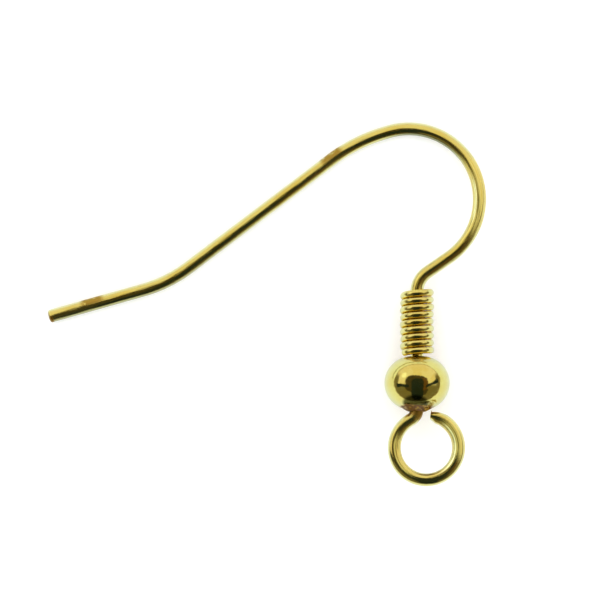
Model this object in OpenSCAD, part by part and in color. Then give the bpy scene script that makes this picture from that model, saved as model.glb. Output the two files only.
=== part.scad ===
// French ear wire with a bead and a coil, lying on its side as it comes to rest on a table.
// One length of wire is bent into the eye, the shank and the hook. The bead and the coil are
// threaded on the shank before the hook is bent, and both stay free to turn on it.
// Millimetres. X runs across the hook's opening, Y along the shank towards the hook, Z up.

/* [Wire] */
// Diameter of the ear wire
wire_d = 0.6; // [0.5:0.05:0.8]
// How much thinner the pliers leave the wire in a bend
bend_thinning = 0.006; // [0.004:0.001:0.02]

/* [Hook] */
// Radius of the shoulder bend above the coil
shoulder_r = 1.1; // [0.8:0.05:1.6]
// Angle of the shoulder bend, away from the hook's opening
shoulder_angle = 55.5; // [40:0.5:65]
// Straight run from the shoulder to the arc over the ear lobe
shoulder_run = 1.2; // [0.5:0.05:2.5]
// Radius of the arc over the ear lobe
lobe_r = 3.26; // [2.6:0.02:4.2]
// Angle that the arc over the ear lobe turns
lobe_angle = 162.5; // [145:0.5:170]
// Straight run from the arc over the ear lobe to the slack arc
back_run = 0.3; // [0.2:0.05:2]
// Radius of the slack arc behind the ear lobe
back_r = 7.4; // [5:0.05:12]
// Angle that the slack arc turns
back_angle = 20; // [10:0.5:30]
// Straight leg behind the ear lobe
leg_len = 8.2; // [6:0.05:12]
// Radius of the outward bend of the tail
tail_r = 6.3; // [4:0.1:10]
// Angle of the outward bend of the tail
tail_angle = 21.5; // [10:0.5:35]
// Straight tail, to its tip
tail_len = 4.5; // [3:0.1:8]
// Length of the bevel at the tip
tip_bevel_len = 0.12; // [0.05:0.01:0.3]
// Diameter of the flat left at the tip
tip_face_d = 0.38; // [0.1:0.02:0.46]

/* [Eye] */
// Inside diameter of the eye
eye_inner_d = 2.35; // [1.8:0.05:3.5]
// Radius of the neck bend below the bead
neck_r = 0.55; // [0.4:0.05:0.7]
// Angle of the neck bend
neck_angle = 57; // [50:1:62]
// Straight run from the neck bend to the eye
neck_run = 0.15; // [0.1:0.05:0.5]
// Gap left between the eye's cut end and the neck
eye_gap = 0.36; // [0.16:0.02:0.5]
// Length that the cutter pinches at the eye's cut end
pinch_len = 0.3; // [0.1:0.05:0.4]
// Diameter of the face left at the eye's cut end
pinch_face_d = 0.36; // [0.2:0.02:0.46]

/* [Bead] */
// Diameter of the bead
bead_d = 3.0; // [2.5:0.1:4]
// Length of the bead along its hole
bead_len = 2.45; // [2.2:0.05:3.8]
// Running clearance all round between the bead's hole and the wire
bead_clearance = 0.06; // [0.04:0.01:0.1]
// How far the neck bend starts inside the bead's hole
bead_seat = 0.03; // [0:0.01:0.06]

/* [Coil] */
// Diameter of the coil's own wire
coil_wire_d = 0.32; // [0.25:0.01:0.4]
// Number of turns in the coil
coil_turns = 8.4; // [4:0.1:12]
// Gap between neighbouring turns
coil_turn_gap = 0.01; // [0.005:0.005:0.05]
// Clearance all round between the coil and the wire inside it
coil_clearance = 0.165; // [0.1:0.005:0.25]
// Gap between the coil and the bead
coil_seat_gap = 0.04; // [0.03:0.01:0.1]
// How far the shoulder bend starts inside the coil's upper end
coil_seat = 0.13; // [0:0.01:0.15]
// Angle by which the coil's lower end lies before its front
coil_start_angle = 60; // [0:5:355]

/* [Hidden] */
$fn = 96;
gold = [0.83, 0.68, 0.28];
// How far a bend or a cut end runs on inside the wire next to it
bend_overlap = 0.02;
// Least gap between the eye and the bead
eye_bead_gap = 0.04;
coil_sides = 10;
coil_steps_per_turn = 24;
// Angle between the places at which a bend is sampled
sample_angle = 2;

wire_r = wire_d / 2;

// The bead's outline is a circle of half its length, set out from the middle of its hole
bead_round_r = bead_len / 2;
bead_round_x = bead_d / 2 - bead_round_r;
bead_hole_r = wire_r + bead_clearance;
bead_hole_y = sqrt(pow(bead_round_r, 2) - pow(bead_hole_r - bead_round_x, 2));

// The coil's lowest turn sits on the bead's round top, a seat gap away
coil_wire_r = coil_wire_d / 2;
coil_r = wire_r + coil_clearance + coil_wire_r;
coil_pitch = coil_wire_d + coil_turn_gap;
coil_y = sqrt(pow(bead_round_r + coil_wire_r + coil_seat_gap, 2) - pow(coil_r - bead_round_x, 2));
coil_top_y = coil_y + coil_turns * coil_pitch + coil_wire_r;

// A place along the wire is [x, y, heading]. The flat wire has its shank on the Y axis and the
// bead's centre at the origin
neck_start = [0, bead_seat - bead_hole_y, -90];
shank_top = [0, coil_top_y - coil_seat, 90];

function spot(place) = [place.x, place.y];
function along(heading) = [cos(heading), sin(heading)];
function left_of(heading) = [-sin(heading), cos(heading)];
function after_run(place, run) =
    let (end = spot(place) + run * along(place[2]))
    [end.x, end.y, place[2]];
function bend_centre(place, radius, angle) = spot(place) + sign(angle) * radius * left_of(place[2]);
function after_bend(place, radius, angle) =
    let (heading = place[2] + angle)
    let (end = bend_centre(place, radius, angle) - sign(angle) * radius * left_of(heading))
    [end.x, end.y, heading];

// Columns of a bending table, which has a row for each bend
RUN = 0;    // straight run before the bend
RADIUS = 1; // radius of the bend, at the wire's centre
ANGLE = 2;  // angle of the bend, positive to the left

// The place at the start of each row of a bending table, then the place after its last row
function row_starts(place, table, i = 0) =
    i == len(table)
        ? [place]
        : let (bend_start = after_run(place, table[i][RUN]))
          concat([place], row_starts(after_bend(bend_start, table[i][RADIUS], table[i][ANGLE]), table, i + 1));

hook_bends = [
    [0, shoulder_r, -shoulder_angle],
    [shoulder_run, lobe_r, lobe_angle],
    [back_run, back_r, back_angle],
    [leg_len, tail_r, -tail_angle]
];
hook_starts = row_starts(shank_top, hook_bends);
tail_start = hook_starts[len(hook_bends)];
tail_bevel = after_run(tail_start, tail_len - tip_bevel_len);

// The eye closes until its cut end is a gap away from the neck, or just short of the bead
eye_r = (eye_inner_d + wire_d) / 2;
eye_start = after_run(after_bend(neck_start, neck_r, -neck_angle), neck_run);
eye_centre = bend_centre(eye_start, eye_r, 1);
neck_centre = bend_centre(neck_start, neck_r, -1);
pinch_angle = pinch_len / eye_r * 180 / PI;

function bearing(from, to) = atan2(to.y - from.y, to.x - from.x);
// How far round the eye a circle of a given radius can close before it meets a round thing
function bearing_short_of(centre, distance, radius) =
    let (span = norm(centre - eye_centre))
    let (cosine = (pow(radius, 2) + pow(span, 2) - pow(distance, 2)) / (2 * radius * span))
    bearing(eye_centre, centre) - acos(min(1, cosine));

bead_round = [bead_round_x, 0];
bead_reach = bead_round_r + eye_bead_gap;
eye_end_bearing = min(
    bearing_short_of(neck_centre, neck_r + wire_r + eye_gap, eye_r) - pinch_angle,
    bearing_short_of(bead_round, bead_reach, eye_r + pinch_face_d / 2) - pinch_angle,
    bearing_short_of(bead_round, bead_reach, eye_r + wire_r)
);
eye_bends = [
    [0, neck_r, -neck_angle],
    [neck_run, eye_r, eye_end_bearing + 90 - eye_start[2]]
];
eye_starts = row_starts(neck_start, eye_bends);
eye_pinch = eye_starts[len(eye_bends)];

// Places all along a bending table
function bend_samples(start, row) =
    let (bend_start = after_run(start, row[RUN]), steps = ceil(abs(row[ANGLE]) / sample_angle))
    [for (i = [0:steps]) after_bend(bend_start, row[RADIUS], row[ANGLE] * i / steps)];
function table_samples(starts, table) =
    [for (i = [0:len(table) - 1]) each bend_samples(starts[i], table[i])];
hook_samples = table_samples(hook_starts, hook_bends);
eye_samples = table_samples(eye_starts, eye_bends);
wire_samples = concat(hook_samples, eye_samples, [after_run(tail_bevel, tip_bevel_len)]);

// At rest the wire touches the table at its tail, and where a line from the tail grazes the hook.
// The bead is thicker than the wire and lifts the shank, so the wire leans about that line.
rest_bearing = max([for (place = hook_samples) bearing(tail_bevel, place)]);
rest_line = along(rest_bearing);
rest_across = -left_of(rest_bearing);
rest_lever = -spot(tail_bevel) * rest_across;
rest_lean = asin((bead_d / 2 - wire_r) / rest_lever);

// A flat direction as seen from above once the wire leans, then turned to keep the shank along Y
function leaned(v) = (v * rest_line) * rest_line + cos(rest_lean) * (v * rest_across) * rest_across;
leaned_shank = leaned([0, 1]);
rest_turn = 90 - bearing([0, 0], leaned_shank);
function at_rest_from_above(v) =
    let (seen = leaned(v))
    [seen * along(-rest_turn), seen * left_of(-rest_turn)];

// The box of the wire at rest, from the places along it and how far its surface lies from its centre
function reach(side, axis) = max([
    for (place = wire_samples)
        let (centre = at_rest_from_above(spot(place)), run = at_rest_from_above(along(place[2])))
        side * centre[axis] + wire_r * sqrt(1 - pow(run[axis], 2))
]);
box_middle = [for (axis = [0, 1]) (reach(1, axis) - reach(-1, axis)) / 2];

// Leans the flat wire to its rest, with the table at Z = 0 under the middle of its box
module at_rest() {
    translate([-box_middle.x, -box_middle.y, 0])
        rotate([0, 0, rest_turn])
            translate([0, 0, bead_d / 2])
                rotate(a = rest_lean, v = [-rest_line.x, -rest_line.y, 0])
                    children();
}

module along_wire(place) {
    translate([place.x, place.y, 0])
        rotate([0, 90, place[2]])
            children();
}

module straight_wire(place, run) {
    along_wire(place)
        cylinder(d = wire_d, h = run);
}

// A bend is thinner than the straights beside it, and its ends run on a little way inside them
module bent_wire(place, radius, angle) {
    centre = bend_centre(place, radius, angle);
    first_heading = min(place[2], place[2] + angle);
    overlap_angle = bend_overlap / radius * 180 / PI;
    translate([centre.x, centre.y, 0])
        rotate([0, 0, first_heading - 90 * sign(angle) - overlap_angle])
            rotate_extrude(angle = abs(angle) + 2 * overlap_angle)
                translate([radius, 0])
                    circle(d = wire_d - bend_thinning);
}

module bent_along(starts, table) {
    for (i = [0:len(table) - 1]) {
        row = table[i];
        if (row[RUN] > 0) {
            straight_wire(starts[i], row[RUN]);
        }
        bent_wire(after_run(starts[i], row[RUN]), row[RADIUS], row[ANGLE]);
    }
}

// A cut end narrows from inside the wire's last stretch to its face
module cut_end(place, length, face_d) {
    along_wire(after_run(place, -bend_overlap))
        cylinder(d1 = wire_d - 2 * bend_thinning, d2 = face_d, h = length + bend_overlap);
}

module ear_hook() {
    color(gold) at_rest() {
        cut_end(eye_pinch, pinch_len, pinch_face_d);
        bent_along(eye_starts, eye_bends);
        straight_wire([0, neck_start.y, 90], shank_top.y - neck_start.y);
        bent_along(hook_starts, hook_bends);
        straight_wire(tail_start, tail_len - tip_bevel_len);
        cut_end(tail_bevel, tip_bevel_len, tip_face_d);
    }
}

// The bead's round outline, less its hole, turned about the shank
module bead() {
    color(gold) at_rest()
        rotate([-90, 0, 0])
            rotate_extrude()
                difference() {
                    translate([bead_round_x, 0])
                        circle(r = bead_round_r);
                    translate([bead_hole_r - bead_d, -bead_len])
                        square([bead_d, 2 * bead_len]);
                }
}

// The coil's wire, swept up a right-handed helix about the shank
module coil() {
    steps = ceil(coil_turns * coil_steps_per_turn);
    rise_angle = atan(coil_pitch / (2 * PI * coil_r));
    side_angle = 360 / coil_sides;
    function ring(i) =
        let (turned = coil_turns * 360 * i / steps - coil_start_angle)
        let (out = [sin(turned), 0, cos(turned)], forward = [cos(turned), 0, -sin(turned)])
        let (lift = [0, cos(rise_angle), 0] - sin(rise_angle) * forward)
        let (centre = coil_r * out + [0, coil_y + coil_turns * coil_pitch * i / steps, 0])
        [
            for (k = [0:coil_sides - 1])
                centre + coil_wire_r * (cos(k * side_angle) * out + sin(k * side_angle) * lift)
        ];
    function corner(i, k) = i * coil_sides + k % coil_sides;
    skin = [
        for (i = [0:steps - 1], k = [0:coil_sides - 1])
            each [
                [corner(i, k), corner(i + 1, k), corner(i + 1, k + 1)],
                [corner(i, k), corner(i + 1, k + 1), corner(i, k + 1)]
            ]
    ];
    lower_face = [for (k = [0:coil_sides - 1]) corner(0, k)];
    upper_face = [for (k = [coil_sides - 1:-1:0]) corner(steps, k)];
    color(gold) at_rest()
        polyhedron(
            points = [for (i = [0:steps]) each ring(i)],
            faces = concat(skin, [lower_face, upper_face])
        );
}

ear_hook();
bead();
coil();
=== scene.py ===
"""The looks of a gold-plated ear wire with a bead and a coil, lying on white paper.

Sizes are in millimetres, as in the part's source, and the meshes are made in metres.
"""
import math

import bpy
import numpy as np
from mathutils import Matrix, Vector


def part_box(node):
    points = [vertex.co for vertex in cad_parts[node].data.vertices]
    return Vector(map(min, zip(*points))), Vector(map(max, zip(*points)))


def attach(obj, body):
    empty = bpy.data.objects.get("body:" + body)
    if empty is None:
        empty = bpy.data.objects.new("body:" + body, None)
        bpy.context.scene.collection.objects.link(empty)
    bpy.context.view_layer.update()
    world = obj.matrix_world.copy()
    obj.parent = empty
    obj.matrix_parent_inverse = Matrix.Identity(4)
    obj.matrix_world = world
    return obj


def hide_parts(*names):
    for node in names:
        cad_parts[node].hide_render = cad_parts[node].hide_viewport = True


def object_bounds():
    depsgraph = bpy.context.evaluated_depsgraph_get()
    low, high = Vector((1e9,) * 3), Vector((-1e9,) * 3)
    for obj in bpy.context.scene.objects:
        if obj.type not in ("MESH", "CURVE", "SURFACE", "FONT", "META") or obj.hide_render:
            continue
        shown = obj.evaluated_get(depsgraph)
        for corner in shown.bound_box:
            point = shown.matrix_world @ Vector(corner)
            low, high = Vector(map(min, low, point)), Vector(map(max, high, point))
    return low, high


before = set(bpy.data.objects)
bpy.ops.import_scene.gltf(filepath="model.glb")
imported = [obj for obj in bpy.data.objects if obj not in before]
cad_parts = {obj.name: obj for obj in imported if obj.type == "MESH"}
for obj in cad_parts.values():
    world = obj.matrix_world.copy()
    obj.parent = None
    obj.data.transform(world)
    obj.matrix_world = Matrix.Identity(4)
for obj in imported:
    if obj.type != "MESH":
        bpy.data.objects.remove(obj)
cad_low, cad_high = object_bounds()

MM = 0.001

# Driving sizes of the wire, the same as in the part's source
WIRE_R = 0.3
SHOULDER_R, SHOULDER_ANGLE, SHOULDER_RUN = 1.1, 55.5, 1.2
LOBE_R, LOBE_ANGLE = 3.26, 162.5
BACK_RUN, BACK_R, BACK_ANGLE = 0.3, 7.4, 20
LEG_LEN = 8.2
TAIL_R, TAIL_ANGLE, TAIL_LEN = 6.3, 21.5, 4.5
TIP_BEVEL_LEN, TIP_FACE_R = 0.12, 0.19
EYE_R = 1.475
NECK_R, NECK_ANGLE, NECK_RUN = 0.55, 57, 0.15
EYE_GAP = 0.36
PINCH_LEN, PINCH_FACE_R = 0.3, 0.18
FLAT_LEN, BURR, BURR_SPREAD = 0.35, 0.08, 0.2
BEAD_R, BEAD_LEN, BEAD_CLEARANCE, BEAD_SEAT = 1.5, 2.45, 0.06, 0.03
BEAD_RIM = 0.035
BEAD_LIP, BEAD_LIP_R, BEAD_LIP_TOP = 0.1, 0.7, -1
BEAD_TEAR, BEAD_TEAR_ANGLE, BEAD_TEAR_SPREAD = 0.05, 0.9, 0.4
BEAD_TEAR_R, BEAD_TEAR_TOP = 0.4, -1.15
EYE_BEAD_GAP = 0.04
COIL_WIRE_R, COIL_TURNS, COIL_TURN_GAP = 0.16, 8.4, 0.01
COIL_CLEARANCE, COIL_SEAT_GAP, COIL_SEAT, COIL_START_ANGLE = 0.165, 0.04, 0.13, 60
COIL_UNEVENNESS, COIL_END_LEN, COIL_END_FACE = 0.012, 0.05, 0.75

# The camera's view in the photograph, across the plane that the wire lies in
VIEW_WIDTH = 27.52
VIEW_MIDDLE = (1.535, 0.185)
VIEW_PLANE = 0.8
CAMERA_HEIGHT = 400
SENSOR = 36

# The dark camera and its stand, which the metal mirrors: a height over the table, and distances from the bead
STAND_HEIGHT = 27
STAND_BODY, STAND_BODY_HALF = (0.5, -6), (10, 14.5)
STAND_HOLDER, STAND_HOLDER_HALF, STAND_HOLDER_TURN = (-1.6, -5.2), (22, 20.8), -9
STAND_GRIP, STAND_GRIP_HALF = (13.5, -3), (7, 13)
STAND_BASE, STAND_BASE_HALF = (6, -27), (18, 15)
STAND_COLUMN = ((-18, 11.5), (-72, 18.5), (-160, 26))
STAND_LEFT_ARM = ((-14, -7, 2.5), (-40, -8, 5), (-130, -18, 18))
STAND_RIGHT_ARM = ((15, -8, 2.5), (40, -1, 5), (130, 20, 18))
STAND_BLACK = (0.018, 0.031, 0.036, 1)
STAND_BROWN = (0.07, 0.06, 0.035, 1)
STAND_RUST = (0.15, 0.085, 0.03, 1)

# Where the wire's finish, its painted highlight lines and its painted shade change: from and to, as distances
# along the wire.
# Those on the eye are counted from its squeezed end, and the others from where that stretch of the wire
# starts
RUBBED_EYE, RUBBED_EYE_INSIDE, RUBBED_ARC = (0.4, 2.3), (4.8, 7.0), (3.9, 7.4)
HIGHLIGHT_EYE, HIGHLIGHT_ARC, HIGHLIGHT_ACROSS = (0.6, 3.3), (4.4, 6.3), 0.155
SHADED_ARC = (7.6, 11.5)
DULL_LEG, DULL_TAIL = (-0.6, 0.45), (1.9, 2.9)
BROWNED_NECK = (-0.4, 0.3)

# Where the bead is darkened, torn and burnt, as places in the bead
DARK_PATCH_PLACE, TEAR_PLACE, BURNT_PLACE = (-0.03, -1.02, 0.85), (0.5, -1.1, 0.6), (-0.15, -1.2, 0.4)

# How finely the meshes follow their shapes
BEND_STEP = 1.5
RUN_STEP = 0.2
WIRE_SIDES = 56
COIL_SIDES = 24
COIL_STEPS_PER_TURN = 56
BEAD_SEGMENTS = 224
BEAD_ARC_STEPS = 120

# Places along the flat wire: a point and a heading in degrees. The shank lies on the Y axis and the
# bead's centre is at the origin.


def along(heading):
    return np.array([math.cos(math.radians(heading)), math.sin(math.radians(heading))])


def left_of(heading):
    return np.array([-math.sin(math.radians(heading)), math.cos(math.radians(heading))])


def after_run(place, run):
    point, heading = place
    return point + run * along(heading), heading


def bend_centre(place, radius, angle):
    point, heading = place
    return point + math.copysign(radius, angle) * left_of(heading)


def after_bend(place, radius, angle):
    heading = place[1] + angle
    return bend_centre(place, radius, angle) - math.copysign(radius, angle) * left_of(heading), heading


def sampled_run(place, run):
    steps = max(1, math.ceil(run / RUN_STEP))
    return [after_run(place, run * i / steps) for i in range(1, steps + 1)]


def sampled_bend(place, radius, angle):
    steps = math.ceil(abs(angle) / BEND_STEP)
    return [after_bend(place, radius, angle * i / steps) for i in range(1, steps + 1)]


def bearing(origin, point):
    return math.degrees(math.atan2(point[1] - origin[1], point[0] - origin[0]))


# The bead and the coil, and the ends of the shank between them
BEAD_ROUND_R = BEAD_LEN / 2
BEAD_ROUND_X = BEAD_R - BEAD_ROUND_R
BEAD_HOLE_R = WIRE_R + BEAD_CLEARANCE
BEAD_HOLE_Y = math.sqrt(BEAD_ROUND_R**2 - (BEAD_HOLE_R - BEAD_ROUND_X) ** 2)
COIL_R = WIRE_R + COIL_CLEARANCE + COIL_WIRE_R
COIL_PITCH = 2 * COIL_WIRE_R + COIL_TURN_GAP
COIL_Y = math.sqrt((BEAD_ROUND_R + COIL_WIRE_R + COIL_SEAT_GAP) ** 2 - (COIL_R - BEAD_ROUND_X) ** 2)
COIL_TOP_Y = COIL_Y + COIL_TURNS * COIL_PITCH + COIL_WIRE_R
NECK_START = (np.array([0, BEAD_SEAT - BEAD_HOLE_Y]), -90)
SHANK_TOP = (np.array([0, COIL_TOP_Y - COIL_SEAT]), 90)


def eye_places():
    """From the neck bend round the eye to where the cutter pinched its end."""
    neck = sampled_bend(NECK_START, NECK_R, -NECK_ANGLE)
    start = after_run(neck[-1], NECK_RUN)
    centre = bend_centre(start, EYE_R, 1)

    def short_of(middle, distance, radius):
        span = np.linalg.norm(middle - centre)
        cosine = (radius**2 + span**2 - distance**2) / (2 * radius * span)
        return bearing(centre, middle) - math.degrees(math.acos(min(1, cosine)))

    pinch_angle = math.degrees(PINCH_LEN / EYE_R)
    bead_round, bead_reach = np.array([BEAD_ROUND_X, 0]), BEAD_ROUND_R + EYE_BEAD_GAP
    end = min(
        short_of(bend_centre(NECK_START, NECK_R, -1), NECK_R + WIRE_R + EYE_GAP, EYE_R) - pinch_angle,
        short_of(bead_round, bead_reach, EYE_R + PINCH_FACE_R) - pinch_angle,
        short_of(bead_round, bead_reach, EYE_R + WIRE_R),
    )
    return neck + [start] + sampled_bend(start, EYE_R, end + 90 - start[1])


def hook_places():
    """From the top of the shank over the ear lobe to the end of the tail's straight."""
    places = [SHANK_TOP]
    places += sampled_bend(places[-1], SHOULDER_R, -SHOULDER_ANGLE)
    places += sampled_run(places[-1], SHOULDER_RUN)
    places += sampled_bend(places[-1], LOBE_R, LOBE_ANGLE)
    places += sampled_run(places[-1], BACK_RUN)
    places += sampled_bend(places[-1], BACK_R, BACK_ANGLE)
    leg_start = len(places) - 1
    places += sampled_run(places[-1], LEG_LEN)
    places += sampled_bend(places[-1], TAIL_R, -TAIL_ANGLE)
    tail_start = len(places) - 1
    places += sampled_run(places[-1], TAIL_LEN - TIP_BEVEL_LEN)
    return places, leg_start, tail_start


EYE_PLACES = eye_places()
HOOK_PLACES, LEG_START, TAIL_START = hook_places()


def rest_pose():
    """Leans the flat wire onto its tail, hook and bead and centres its box, as the part's source does."""
    tail = HOOK_PLACES[-1][0]
    line = along(max(bearing(tail, point) for point, heading in HOOK_PLACES[:-1]))
    across = np.array([line[1], -line[0]])
    lean = math.asin((BEAD_R - WIRE_R) / -(tail @ across))
    tip = Matrix.Rotation(lean, 4, Vector((-line[0], -line[1], 0)))
    shank = tip @ Vector((0, 1, 0))
    turn = Matrix.Rotation(math.pi / 2 - math.atan2(shank.y, shank.x), 4, "Z")
    leaned = turn @ Matrix.Translation((0, 0, BEAD_R)) @ tip
    low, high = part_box("bead")
    bead_middle = (low + high) / 2 / MM
    return Matrix.Translation((bead_middle.x, bead_middle.y, 0)) @ leaned


REST = Matrix.Scale(MM, 4) @ rest_pose()

# Meshes


def add_mesh(name, points, faces, straight, body, node):
    """A smooth piece that stands for a node. straight is where each point lies before the wire is bent."""
    mesh = bpy.data.meshes.new(name)
    mesh.from_pydata([REST @ Vector(p) for p in points], [], faces)
    attribute = mesh.attributes.new("straight", "FLOAT_VECTOR", "POINT")
    attribute.data.foreach_set("vector", np.asarray(straight, float).ravel())
    mesh.polygons.foreach_set("use_smooth", [True] * len(mesh.polygons))
    mesh.update()
    piece = bpy.data.objects.new(name, mesh)
    bpy.context.scene.collection.objects.link(piece)
    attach(piece, body)
    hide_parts(node)
    return piece


def tube_faces(rings, sides):
    """Quads between rings of points, with a face at each end."""
    faces = [
        (i * sides + k, i * sides + (k + 1) % sides, (i + 1) * sides + (k + 1) % sides, (i + 1) * sides + k)
        for i in range(rings - 1)
        for k in range(sides)
    ]
    lower = tuple(reversed(range(sides)))
    upper = tuple((rings - 1) * sides + k for k in range(sides))
    return faces + [lower, upper]


def rounded_end(length, body_r, face_r, steps=10):
    """How far a blunt end's rings lie past its start, and their radii: a soft corner, then a low dome."""
    corner = [math.radians(90 * i / steps) for i in range(1, steps + 1)]
    rings = [(length * math.sin(a), face_r + (body_r - face_r) * math.cos(a)) for a in corner]
    dome = length * 0.12
    rings += [(length + dome * (1 - t**2), face_r * t) for t in (0.8, 0.55, 0.3, 0.05)]
    return rings


def squeezed_end(length, body_r, face_r, steps=8):
    """Rings for an end that a cutter has squeezed from two sides: a wedge, then a flat face.

    Each ring is how far it lies past the start, its reach across, its height, and the burr on its edge.
    """
    rings = [(length * i / steps, body_r + (face_r - body_r) * i / steps, body_r, 0) for i in range(1, steps)]
    rings += [(length * 0.96, face_r, body_r, BURR), (length, face_r - 0.015, body_r - 0.015, BURR)]
    return rings + [(length, face_r * t, body_r * t, 0) for t in (0.7, 0.35, 0.05)]


def wire_places():
    """The whole wire's places, from the eye's squeezed end to the tail, their distances, and named marks."""
    shank = (NECK_START[0], 90)
    places = [(point, heading + 180) for point, heading in reversed(EYE_PLACES)]
    places += [shank] + sampled_run(shank, SHANK_TOP[0][1] - NECK_START[0][1])[:-1]
    first_hook = len(places)
    places += HOOK_PLACES

    distances = [0.0]
    for (a, _), (b, _) in zip(places, places[1:]):
        distances.append(distances[-1] + float(np.linalg.norm(b - a)))
    marks = {
        "neck": distances[len(EYE_PLACES)],
        "arc": distances[first_hook],
        "leg": distances[first_hook + LEG_START],
        "tail": distances[first_hook + TAIL_START],
        "tip": distances[-1] + TIP_BEVEL_LEN,
    }
    return places, distances, marks


def wire_rings(places, distances):
    """Rings along the wire: point, heading, distance, reach across, height, and the burr on the edge."""
    rings = []
    point, heading = places[0]
    for past, reach, high, burr in reversed(squeezed_end(PINCH_LEN, WIRE_R, PINCH_FACE_R)):
        place = after_bend((point, heading + 180), EYE_R, math.degrees(past / EYE_R))
        rings.append((place[0], place[1] - 180, -past, reach, high, burr))
    rings += [(point, heading, s, WIRE_R, WIRE_R, 0) for (point, heading), s in zip(places, distances)]
    for past, radius in rounded_end(TIP_BEVEL_LEN, WIRE_R, TIP_FACE_R):
        point, heading = after_run(places[-1], past)
        rings.append((point, heading, distances[-1] + past, radius, radius, 0))
    return rings


def wire_piece():
    """The whole wire in one sweep, from the eye's cut end to the tail's tip."""
    places, distances, marks = wire_places()
    rings = wire_rings(places, distances)
    points, straight = [], []
    for point, heading, s, reach, high, burr in rings:
        # The cutter has flattened the outer side of the eye's end and left a burr on its edge
        squeezed = (FLAT_LEN - s) / (FLAT_LEN + PINCH_LEN)
        limit = WIRE_R - max(0, squeezed) * (WIRE_R - PINCH_FACE_R)
        for k in range(WIRE_SIDES):
            # The first point of each ring is underneath
            a = 2 * math.pi * k / WIRE_SIDES - math.pi / 2
            x = min(reach * math.cos(a), limit) + burr * math.exp(-((a / BURR_SPREAD) ** 2))
            z = high * math.sin(a)
            in_plane = point + x * left_of(heading)
            points.append((in_plane[0], in_plane[1], z))
            straight.append((x, z, s))
    faces = tube_faces(len(rings), WIRE_SIDES)
    return add_mesh("ear_hook_wire", points, faces, straight, "wire", "ear_hook"), marks


def coil_piece():
    """A round wire swept up a helix, with slightly uneven turns and soft ends."""
    steps = math.ceil(COIL_TURNS * COIL_STEPS_PER_TURN)
    turn_length = math.hypot(2 * math.pi * COIL_R, COIL_PITCH)
    rise = math.atan(COIL_PITCH / (2 * math.pi * COIL_R))
    ends = rounded_end(COIL_END_LEN, COIL_WIRE_R, COIL_WIRE_R * COIL_END_FACE, steps=5)
    stations = [(-past / turn_length, radius) for past, radius in reversed(ends)]
    stations += [(COIL_TURNS * i / steps, COIL_WIRE_R) for i in range(steps + 1)]
    stations += [(COIL_TURNS + past / turn_length, radius) for past, radius in ends]
    points, straight = [], []
    for turns, radius in stations:
        a = 2 * math.pi * turns - math.radians(COIL_START_ANGLE)
        out = np.array([math.sin(a), 0, math.cos(a)])
        forward = np.array([math.cos(a), 0, -math.sin(a)])
        lift = np.array([0, math.cos(rise), 0]) - math.sin(rise) * forward
        # Two waves that never line up, so no two turns are alike
        bulge = COIL_UNEVENNESS * (math.sin(2.3 * turns) + 0.6 * math.sin(5.1 * turns + 1))
        centre = (COIL_R + bulge) * out + np.array([0, COIL_Y + turns * COIL_PITCH, 0])
        for k in range(COIL_SIDES):
            b = 2 * math.pi * k / COIL_SIDES
            points.append(centre + radius * (math.cos(b) * out + math.sin(b) * lift))
            straight.append((radius * math.cos(b), radius * math.sin(b), turns * turn_length))
    faces = [tuple(reversed(face)) for face in tube_faces(len(stations), COIL_SIDES)]
    return add_mesh("coil_winding", points, faces, straight, "coil", "coil")


def bead_profile():
    """Half the bead's section as (radius, height) points: round outside, a softened rim, a straight hole."""
    reach = math.atan2(BEAD_HOLE_Y, BEAD_HOLE_R - BEAD_ROUND_X) - BEAD_RIM / BEAD_ROUND_R
    arc = [reach * (2 * i / BEAD_ARC_STEPS - 1) for i in range(BEAD_ARC_STEPS + 1)]
    profile = [(BEAD_ROUND_X + BEAD_ROUND_R * math.cos(a), BEAD_ROUND_R * math.sin(a)) for a in arc]
    top = profile[-1]
    corner = (BEAD_HOLE_R, top[1])
    inside = (BEAD_HOLE_R, top[1] - BEAD_RIM)
    upper = [
        tuple((1 - t) ** 2 * p + 2 * t * (1 - t) * q + t**2 * r for p, q, r in zip(top, corner, inside))
        for t in (0.25, 0.5, 0.75, 1)
    ]
    upper += [(BEAD_HOLE_R, inside[1] * t) for t in (0.66, 0.33, 0)]
    lower = [(radius, -height) for radius, height in reversed(upper[:-1])]
    return [with_lip(radius, height) for radius, height in lower + profile + upper]


def with_lip(radius, height):
    """A point of the bead's section, moved out where it lies on the low cone round the hole's lower end."""
    if height > BEAD_LIP_TOP or radius > BEAD_LIP_R:
        return radius, height
    return radius, height - BEAD_LIP * (BEAD_LIP_R - radius) / (BEAD_LIP_R - BEAD_HOLE_R)


def tear(a):
    """How far the cone's edge is torn up or down at an angle round the bead. It is torn on one side only."""
    side = math.exp(-(((a - BEAD_TEAR_ANGLE) / BEAD_TEAR_SPREAD) ** 2))
    return BEAD_TEAR * side * math.sin(16 * a) * math.sin(37 * a)


def bead_piece():
    """The bead's section, turned round its hole."""
    profile = bead_profile()
    rows = len(profile)
    points = []
    for k in range(BEAD_SEGMENTS):
        a = 2 * math.pi * k / BEAD_SEGMENTS
        for radius, height in profile:
            on_edge = height < BEAD_TEAR_TOP and radius > BEAD_TEAR_R
            points.append((radius * math.sin(a), height + (tear(a) if on_edge else 0), radius * math.cos(a)))
    faces = []
    for k in range(BEAD_SEGMENTS):
        here, there = k * rows, (k + 1) % BEAD_SEGMENTS * rows
        faces += [(here + i, there + i, there + (i + 1) % rows, here + (i + 1) % rows) for i in range(rows)]
    return add_mesh("bead_ball", points, faces, points, "bead", "bead")


# Node trees


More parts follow.
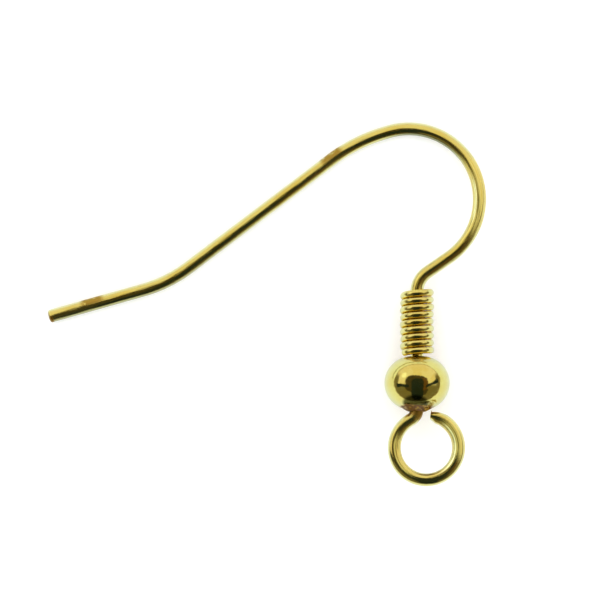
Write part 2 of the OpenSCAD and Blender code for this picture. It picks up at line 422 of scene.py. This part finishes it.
class Tree:
    """Short calls for the nodes that the finishes and the surroundings share. Each gives an output socket."""

    def __init__(self, owner):
        owner.use_nodes = True
        self.nodes, self.links = owner.node_tree.nodes, owner.node_tree.links
        self.nodes.clear()

    def add(self, kind, inputs=(), output=0, **settings):
        node = self.nodes.new(kind)
        for name, value in settings.items():
            setattr(node, name, value)
        for key, value in dict(inputs).items():
            socket = node.inputs[key]
            if isinstance(value, bpy.types.NodeSocket):
                self.links.new(value, socket)
            else:
                socket.default_value = value
        return node.outputs[output] if len(node.outputs) else node

    def math(self, operation, a, b=0.0, c=0.0):
        return self.add("ShaderNodeMath", {0: a, 1: b, 2: c}, operation=operation)

    def vector(self, operation, a, b=(0, 0, 0), output=0):
        return self.add("ShaderNodeVectorMath", {0: a, 1: b}, output, operation=operation)

    def split(self, vector):
        node = self.add("ShaderNodeSeparateXYZ", {0: vector}).node
        return node.outputs[0], node.outputs[1], node.outputs[2]

    def smooth(self, value, low, high, to_low=0.0, to_high=1.0):
        """Gives to_low where value is low, to_high where it is high, and a soft slope between."""
        return self.add(
            "ShaderNodeMapRange",
            {0: value, 1: low, 2: high, 3: to_low, 4: to_high},
            interpolation_type="SMOOTHSTEP",
        )

    def mix(self, share, a, b):
        """A colour that goes from a to b."""
        return self.add("ShaderNodeMix", {0: share, 6: a, 7: b}, 2, data_type="RGBA")

    def noise(self, vector, scale, detail=3.0, roughness=0.5):
        inputs = {"Vector": vector, "Scale": scale, "Detail": detail, "Roughness": roughness}
        return self.add("ShaderNodeTexNoise", inputs)


# Colours of the plating, of its wear and of its stains, and the painted highlight, painted shade and painted
# sheen
PLATING = (0.71, 0.57, 0.13, 1)
PLATING_DEEP = (0.68, 0.51, 0.085, 1)
RUBBED = (0.72, 0.50, 0.12, 1)
DULL = (0.40, 0.235, 0.03, 1)
BROWNED = (0.34, 0.17, 0.018, 1)
RUSTY = (0.42, 0.21, 0.02, 1)
DARK_PATCH = (0.08, 0.065, 0.004, 1)
BURNT = (0.16, 0.055, 0.0, 1)
# Painted shade: a grey for one edge of the wire
SHADE_GREY = (0.13, 0.13, 0.085, 1)
# Painted shade: a deeper gold for the grooves between the coil's turns
GROOVE_SHADE_GOLD = (0.80, 0.58, 0.07, 1)
BARE = (0.80, 0.66, 0.34, 1)
# Painted highlight: a gold brighter than any plating, for bright lines along the eye and the arc
HIGHLIGHT_GOLD = (1, 0.91, 0.42, 1)
# Painted sheen: the pale colour that the plating turns towards at a glancing angle
SHEEN_PALE = (1, 0.98, 0.95, 1)


class Finish(Tree):
    """A metal surface that is built up in layers: its colour, its roughness and its bump height in mm."""

    def __init__(self, name):
        self.material = bpy.data.materials.new(name)
        super().__init__(self.material)
        self.straight = self.add("ShaderNodeAttribute", output=1, attribute_name="straight")
        self.across_x, self.across_y, self.distance = self.split(self.straight)

    def grain(self, along_share, scale, detail=2.0, roughness=0.6):
        """Noise that is drawn out along the wire."""
        drawn_out = self.vector("MULTIPLY", self.straight, (1, 1, along_share))
        return self.noise(drawn_out, scale, detail, roughness)

    def plate(self, roughness, waviness, lines, sheen_paleness):
        """Gold of two tones with drawing lines along the wire, its colour painted paler towards a glancing
        angle as a painted sheen.
        """
        fine_lines = self.grain(0.02, 34.0, 1.0, 0.5)
        self.colour = self.mix(self.smooth(self.grain(0.25, 2.2, 3.0), 0.4, 0.62), PLATING, PLATING_DEEP)
        glance = self.math("POWER", self.add("ShaderNodeLayerWeight", {"Blend": 0.5}, 1), 1.4)
        # Painted sheen: the colour is painted paler towards a glancing angle
        self.colour = self.mix(self.math("MULTIPLY", glance, sheen_paleness), self.colour, SHEEN_PALE)
        self.rough = self.smooth(fine_lines, 0.35, 0.65, roughness * 0.75, roughness * 1.3)
        self.metal = 1.0
        self.height = self.math("MULTIPLY", self.noise(self.straight, 1.3, 2.0), waviness)
        coarse_lines = self.math("MULTIPLY", self.grain(0.04, 11.0), 2.5)
        self.raise_by(lines, self.math("ADD", fine_lines, coarse_lines))

    def raise_by(self, height, pattern):
        """Adds a pattern to the bump."""
        self.height = self.math("MULTIPLY_ADD", pattern, height, self.height)

    def cover(self, share, colour, roughness, metal=1.0):
        """Another surface over a share of this one."""
        self.colour = self.mix(share, self.colour, colour)
        self.rough = self.math("MAXIMUM", self.rough, self.math("MULTIPLY", share, roughness))
        if metal < 1:
            self.metal = self.math("MINIMUM", self.metal, self.math("MULTIPLY_ADD", share, metal - 1, 1.0))

    def rub(self, share):
        """Matt streaks along the wire, where the shine is worn off."""
        streaks = self.smooth(self.grain(0.012, 12.0, 3.0, 0.7), 0.40, 0.56, 0.1, 1.0)
        self.cover(self.math("MULTIPLY", share, streaks), RUBBED, 0.4, 0.3)

    def stretch(self, start, end, softness, amount=1.0):
        """An amount between two distances along the wire, and nothing beyond them."""
        offset = self.math("ABSOLUTE", self.math("SUBTRACT", self.distance, (start + end) / 2))
        return self.smooth(offset, (end - start) / 2 + softness, (end - start) / 2 - softness, 0.0, amount)

    def blotches(self, amount):
        """Gives 1 in irregular spots."""
        return self.smooth(self.grain(0.6, 7.0, 4.0, 0.65), 0.60 - amount, 0.74 - amount)

    def close(self):
        """The finished material."""
        normal = self.add("ShaderNodeBump", {"Strength": 1.0, "Distance": MM, "Height": self.height})
        surface = self.add(
            "ShaderNodeBsdfPrincipled",
            {
                "Base Color": self.colour,
                "Metallic": self.metal,
                "Roughness": self.rough,
                "Normal": normal,
                "Coat Weight": 0.2,
                "Coat Roughness": 0.1,
            },
        )
        self.add("ShaderNodeOutputMaterial", {"Surface": surface})
        return self.material


def past_mark(mark, span):
    """A span along the wire, counted from a mark."""
    return mark + span[0], mark + span[1]


def wear_and_highlight_wire(finish, arc):
    """Rubs the eye and the arc matt, and paints a highlight line along each."""
    inner_side = finish.smooth(finish.across_x, 0.06, -0.03)
    eye_inside = finish.math("MULTIPLY", finish.stretch(*RUBBED_EYE_INSIDE, 0.4, 0.95), inner_side)
    eye_side = finish.math("MAXIMUM", finish.stretch(*RUBBED_EYE, 0.35, 0.85), eye_inside)
    finish.rub(finish.math("MAXIMUM", eye_side, finish.stretch(*past_mark(arc, RUBBED_ARC), 0.6)))
    # Painted highlights: a bright gold line along the eye and along the arc
    lines = ((HIGHLIGHT_EYE, -HIGHLIGHT_ACROSS), (past_mark(arc, HIGHLIGHT_ARC), HIGHLIGHT_ACROSS))
    for span, middle in lines:
        offset = finish.math("ABSOLUTE", finish.math("SUBTRACT", finish.across_x, middle))
        line = finish.smooth(offset, 0.08, 0.03)
        finish.cover(finish.math("MULTIPLY", finish.stretch(*span, 0.4), line), HIGHLIGHT_GOLD, 0.2)


def shade_wire_edge(finish, marks):
    """Paints shade on one edge of the wire as a grey, along the tail and along the top of the hook."""
    shaded_tail = finish.smooth(finish.distance, marks["leg"] + 1, marks["tail"], 0.0, 0.5)
    shaded_top = finish.stretch(*past_mark(marks["arc"], SHADED_ARC), 1.0, 0.75)
    shaded = finish.math("MAXIMUM", shaded_tail, shaded_top)
    # Painted shade: a grey along one edge
    finish.cover(finish.math("MULTIPLY", shaded, finish.smooth(finish.across_x, 0.16, 0.24)), SHADE_GREY, 0.2)


def dull_wire(finish, marks):
    """Two dull spots on the side that faces up."""
    inner_side = finish.smooth(finish.across_x, 0.08, -0.05)
    upper_side = finish.math("MULTIPLY", inner_side, finish.smooth(finish.across_y, -0.1, 0.1))
    for span in (past_mark(marks["leg"], DULL_LEG), past_mark(marks["tail"], DULL_TAIL)):
        place = finish.math("MULTIPLY", finish.stretch(*span, 0.15), upper_side)
        finish.cover(finish.math("MULTIPLY", place, finish.blotches(0.28)), DULL, 0.4)


def brown_wire(finish, marks):
    """Browns the neck and the tail's tip, and leaves the eye's cut face bare."""
    neck = finish.stretch(*past_mark(marks["neck"], BROWNED_NECK), 0.12)
    finish.cover(finish.math("MULTIPLY", neck, finish.blotches(0.3)), BROWNED, 0.3, 0.8)
    tip = finish.smooth(finish.distance, marks["tip"] - 0.24, marks["tip"] - 0.12)
    finish.cover(finish.math("MULTIPLY", tip, finish.smooth(finish.across_x, -0.02, 0.08)), BROWNED, 0.5)
    tip_face = finish.smooth(finish.distance, marks["tip"] - 0.05, marks["tip"] - 0.005)
    finish.cover(tip_face, BROWNED, 0.5)
    finish.cover(finish.smooth(finish.distance, -PINCH_LEN + 0.02, -PINCH_LEN), BARE, 0.35)


def wire_finish(marks):
    """Plating that is worn on the eye and the arc with a painted highlight line along each, has painted shade
    along one edge, and is stained in a few places.
    """
    finish = Finish("plated_wire")
    finish.plate(0.15, 0.003, 0.005, 0.75)
    wear_and_highlight_wire(finish, marks["arc"])
    shade_wire_edge(finish, marks)
    dull_wire(finish, marks)
    brown_wire(finish, marks)
    return finish.close()


def coil_finish():
    """Plating with a deeper gold painted into the grooves between the turns, as painted shade."""
    finish = Finish("plated_coil")
    finish.plate(0.13, 0.004, 0.002, 0.6)
    groove_shade = finish.smooth(finish.math("ABSOLUTE", finish.across_y), 0.08, 0.13)
    # Painted shade: a deeper gold in the grooves between the turns
    finish.cover(finish.math("MULTIPLY", groove_shade, finish.blotches(0.35)), GROOVE_SHADE_GOLD, 0.2)
    return finish.close()


def darken_and_rust_bead(finish):
    """A dark patch on the side that faces up, near the hole's lower end, and a rusty ring round the hole's
    lower end.
    """
    # A dark patch on the side that faces up, near the hole's lower end
    reach = finish.vector("DISTANCE", finish.straight, DARK_PATCH_PLACE, 1)
    dark_patch = finish.math("MULTIPLY", finish.smooth(reach, 0.68, 0.5), finish.blotches(0.45))
    finish.cover(dark_patch, DARK_PATCH, 0.15)
    finish.cover(finish.smooth(finish.across_y, -1.05, -1.13), RUSTY, 0.25)


def burn_bead(finish):
    """The rough torn side of the low cone, and a ragged brown patch beside it."""
    torn = finish.smooth(finish.vector("DISTANCE", finish.straight, TEAR_PLACE, 1), 0.42, 0.25)
    finish.raise_by(finish.math("MULTIPLY", torn, 0.05), finish.noise(finish.straight, 8.0, 2.0))
    reach = finish.vector("DISTANCE", finish.straight, BURNT_PLACE, 1)
    ragged = finish.math("MULTIPLY_ADD", finish.noise(finish.straight, 4.0), 0.3, reach)
    burnt = finish.smooth(ragged, 0.72, 0.65)
    finish.raise_by(finish.math("MULTIPLY", burnt, 0.04), finish.noise(finish.straight, 7.0, 2.0))
    finish.cover(burnt, RUSTY, 0.35)
    finish.cover(finish.math("MULTIPLY", burnt, finish.blotches(0.25)), BURNT, 0.7, 0.3)


def bead_finish():
    """Plating with fine dents, darkened, rusted and burnt round the hole's lower end."""
    finish = Finish("plated_bead")
    finish.plate(0.1, 0.01, 0.0, 0.35)
    finish.raise_by(0.0035, finish.noise(finish.straight, 5.0, 2.0))
    finish.raise_by(0.0006, finish.noise(finish.straight, 22.0, 2.0))
    darken_and_rust_bead(finish)
    burn_bead(finish)
    return finish.close()


def paper():
    """Matt white paper with a fine grain."""
    material = bpy.data.materials.new("white_paper")
    tree = Tree(material)
    place = tree.add("ShaderNodeTexCoord", output=3)
    fibre = tree.noise(place, 900.0, 4.0, 0.6)
    colour = tree.mix(tree.smooth(fibre, 0.3, 0.7), (0.89, 0.89, 0.88, 1), (0.91, 0.91, 0.905, 1))
    # The picture's white point lies a little below the paper, so the paper is lifted where it is seen
    # directly
    lift = tree.math("MULTIPLY", tree.add("ShaderNodeLightPath"), 0.25)
    sheet = tree.add(
        "ShaderNodeBsdfPrincipled",
        {
            "Base Color": colour,
            "Roughness": 0.9,
            "Specular IOR Level": 0.0,
            "Emission Color": (1, 0.6, 0.8, 1),
            "Emission Strength": lift,
        },
    )
    tree.add("ShaderNodeOutputMaterial", {"Surface": sheet})
    return material


# Surroundings


def studio():
    """A bright room behind the wire, dimmer in front of it, with one lamp.

    Only mirrors see that: paper is lit by an even dome of light, and the camera sees a plain pale backdrop.
    """
    world = bpy.data.worlds.new("studio")
    bpy.context.scene.world = world
    tree = Tree(world)
    direction = tree.add("ShaderNodeTexCoord", output=0)
    x, y, z = tree.split(direction)

    front = (0.22, 0.21, 0.13, 1)
    back = (1.05, 1.03, 0.99, 1)
    skirting = (0.42, 0.36, 0.22, 1)
    lamp_direction = Vector((-0.69, 0.49, 0.53)).normalized()
    room = tree.mix(tree.smooth(y, -0.28, 0.02), front, back)
    far_side = tree.smooth(tree.math("ABSOLUTE", x), 0.8, 0.93)
    low_side = tree.math("MULTIPLY", far_side, tree.smooth(z, 0.38, 0.24))
    room = tree.mix(low_side, room, front)
    room = tree.mix(tree.smooth(z, 0.09, 0.03, 0.0, 0.7), room, skirting)
    lamp = tree.smooth(tree.vector("DOT_PRODUCT", direction, lamp_direction, 1), 0.975, 0.995)
    room = tree.mix(lamp, room, (1.4, 1.55, 1.65, 1))

    daylight = tree.mix(tree.smooth(y, -0.5, 0.5), (1.15, 1.38, 1.29, 1), (1.45, 1.72, 1.61, 1))
    path = tree.add("ShaderNodeLightPath").node
    seen = tree.mix(path.outputs["Is Diffuse Ray"], room, daylight)
    seen = tree.mix(path.outputs["Is Camera Ray"], seen, (1.1, 1.1, 1.1, 1))
    backdrop = tree.add("ShaderNodeBackground", {"Color": seen, "Strength": 1.0})
    tree.add("ShaderNodeOutputWorld", {"Surface": backdrop})


def rounded_box(middle, half, turn=0, steps=48):
    """The outline of a box with soft corners, turned by some degrees."""
    outline = []
    for i in range(steps):
        a = 2 * math.pi * i / steps
        x = half[0] * math.copysign(abs(math.cos(a)) ** 0.5, math.cos(a))
        y = half[1] * math.copysign(abs(math.sin(a)) ** 0.5, math.sin(a))
        place = np.array(middle) + x * along(turn) + y * left_of(turn)
        outline.append((float(place[0]), float(place[1])))
    return outline


def stand():
    """The flat dark shapes of a camera, its holder, its column and its cross bar. Only mirrors see them."""
    column = [(half, y) for y, half in STAND_COLUMN]
    arms = [
        [(x, y + half) for x, y, half in arm] + [(x, y - half) for x, y, half in reversed(arm)]
        for arm in (STAND_LEFT_ARM, STAND_RIGHT_ARM)
    ]
    column += [(-x, y) for x, y in reversed(column)]
    flat_shape("stand_camera", [rounded_box(STAND_BODY, STAND_BODY_HALF)], STAND_HEIGHT, STAND_BLACK)
    flat_shape("stand_column", [column, *arms], STAND_HEIGHT, STAND_BLACK)
    flat_shape("stand_grip", [rounded_box(STAND_GRIP, STAND_GRIP_HALF)], STAND_HEIGHT + 0.25, STAND_RUST)
    holder = [
        rounded_box(STAND_HOLDER, STAND_HOLDER_HALF, STAND_HOLDER_TURN),
        rounded_box(STAND_BASE, STAND_BASE_HALF),
    ]
    flat_shape("stand_holder", holder, STAND_HEIGHT + 0.5, STAND_BROWN)


def flat_shape(name, outlines, height, colour):
    """Level outlines, placed from the bead's centre, that only mirrors see."""
    points, faces = [], []
    middle = REST @ Vector((0, 0, 0))
    for outline in outlines:
        faces.append(tuple(range(len(points), len(points) + len(outline))))
        points += [(middle.x + x * MM, middle.y + y * MM, height * MM) for x, y in outline]
    mesh = bpy.data.meshes.new(name)
    mesh.from_pydata(points, [], faces)
    shape = bpy.data.objects.new(name, mesh)
    bpy.context.scene.collection.objects.link(shape)
    shape.visible_camera = False
    shape.visible_diffuse = False
    shape.visible_shadow = False
    shape.visible_transmission = False
    material = bpy.data.materials.new(name)
    tree = Tree(material)
    surface = tree.add("ShaderNodeEmission", {"Color": colour, "Strength": 1.0})
    tree.add("ShaderNodeOutputMaterial", {"Surface": surface})
    mesh.materials.append(material)


def floor():
    """The sheet of paper under the wire."""
    half = 0.5
    low = cad_low.z
    corners = [(-half, -half, low), (half, -half, low), (half, half, low), (-half, half, low)]
    mesh = bpy.data.meshes.new("paper_sheet")
    mesh.from_pydata(corners, [], [(0, 1, 2, 3)])
    sheet = bpy.data.objects.new("paper_sheet", mesh)
    bpy.context.scene.collection.objects.link(sheet)
    mesh.materials.append(paper())


def camera():
    """Looks straight down from far away, as the photograph does."""
    data = bpy.data.cameras.new("camera")
    data.sensor_width = SENSOR
    data.lens = SENSOR * (CAMERA_HEIGHT - VIEW_PLANE) / VIEW_WIDTH
    data.clip_start = 0.01
    view = bpy.data.objects.new("camera", data)
    view.location = (VIEW_MIDDLE[0] * MM, VIEW_MIDDLE[1] * MM, CAMERA_HEIGHT * MM)
    bpy.context.scene.collection.objects.link(view)
    bpy.context.scene.camera = view


camera()
floor()
studio()
stand()
bpy.context.scene.view_settings.view_transform = "Standard"

wire, marks = wire_piece()
wire.data.materials.append(wire_finish(marks))
coil_piece().data.materials.append(coil_finish())
bead_piece().data.materials.append(bead_finish())
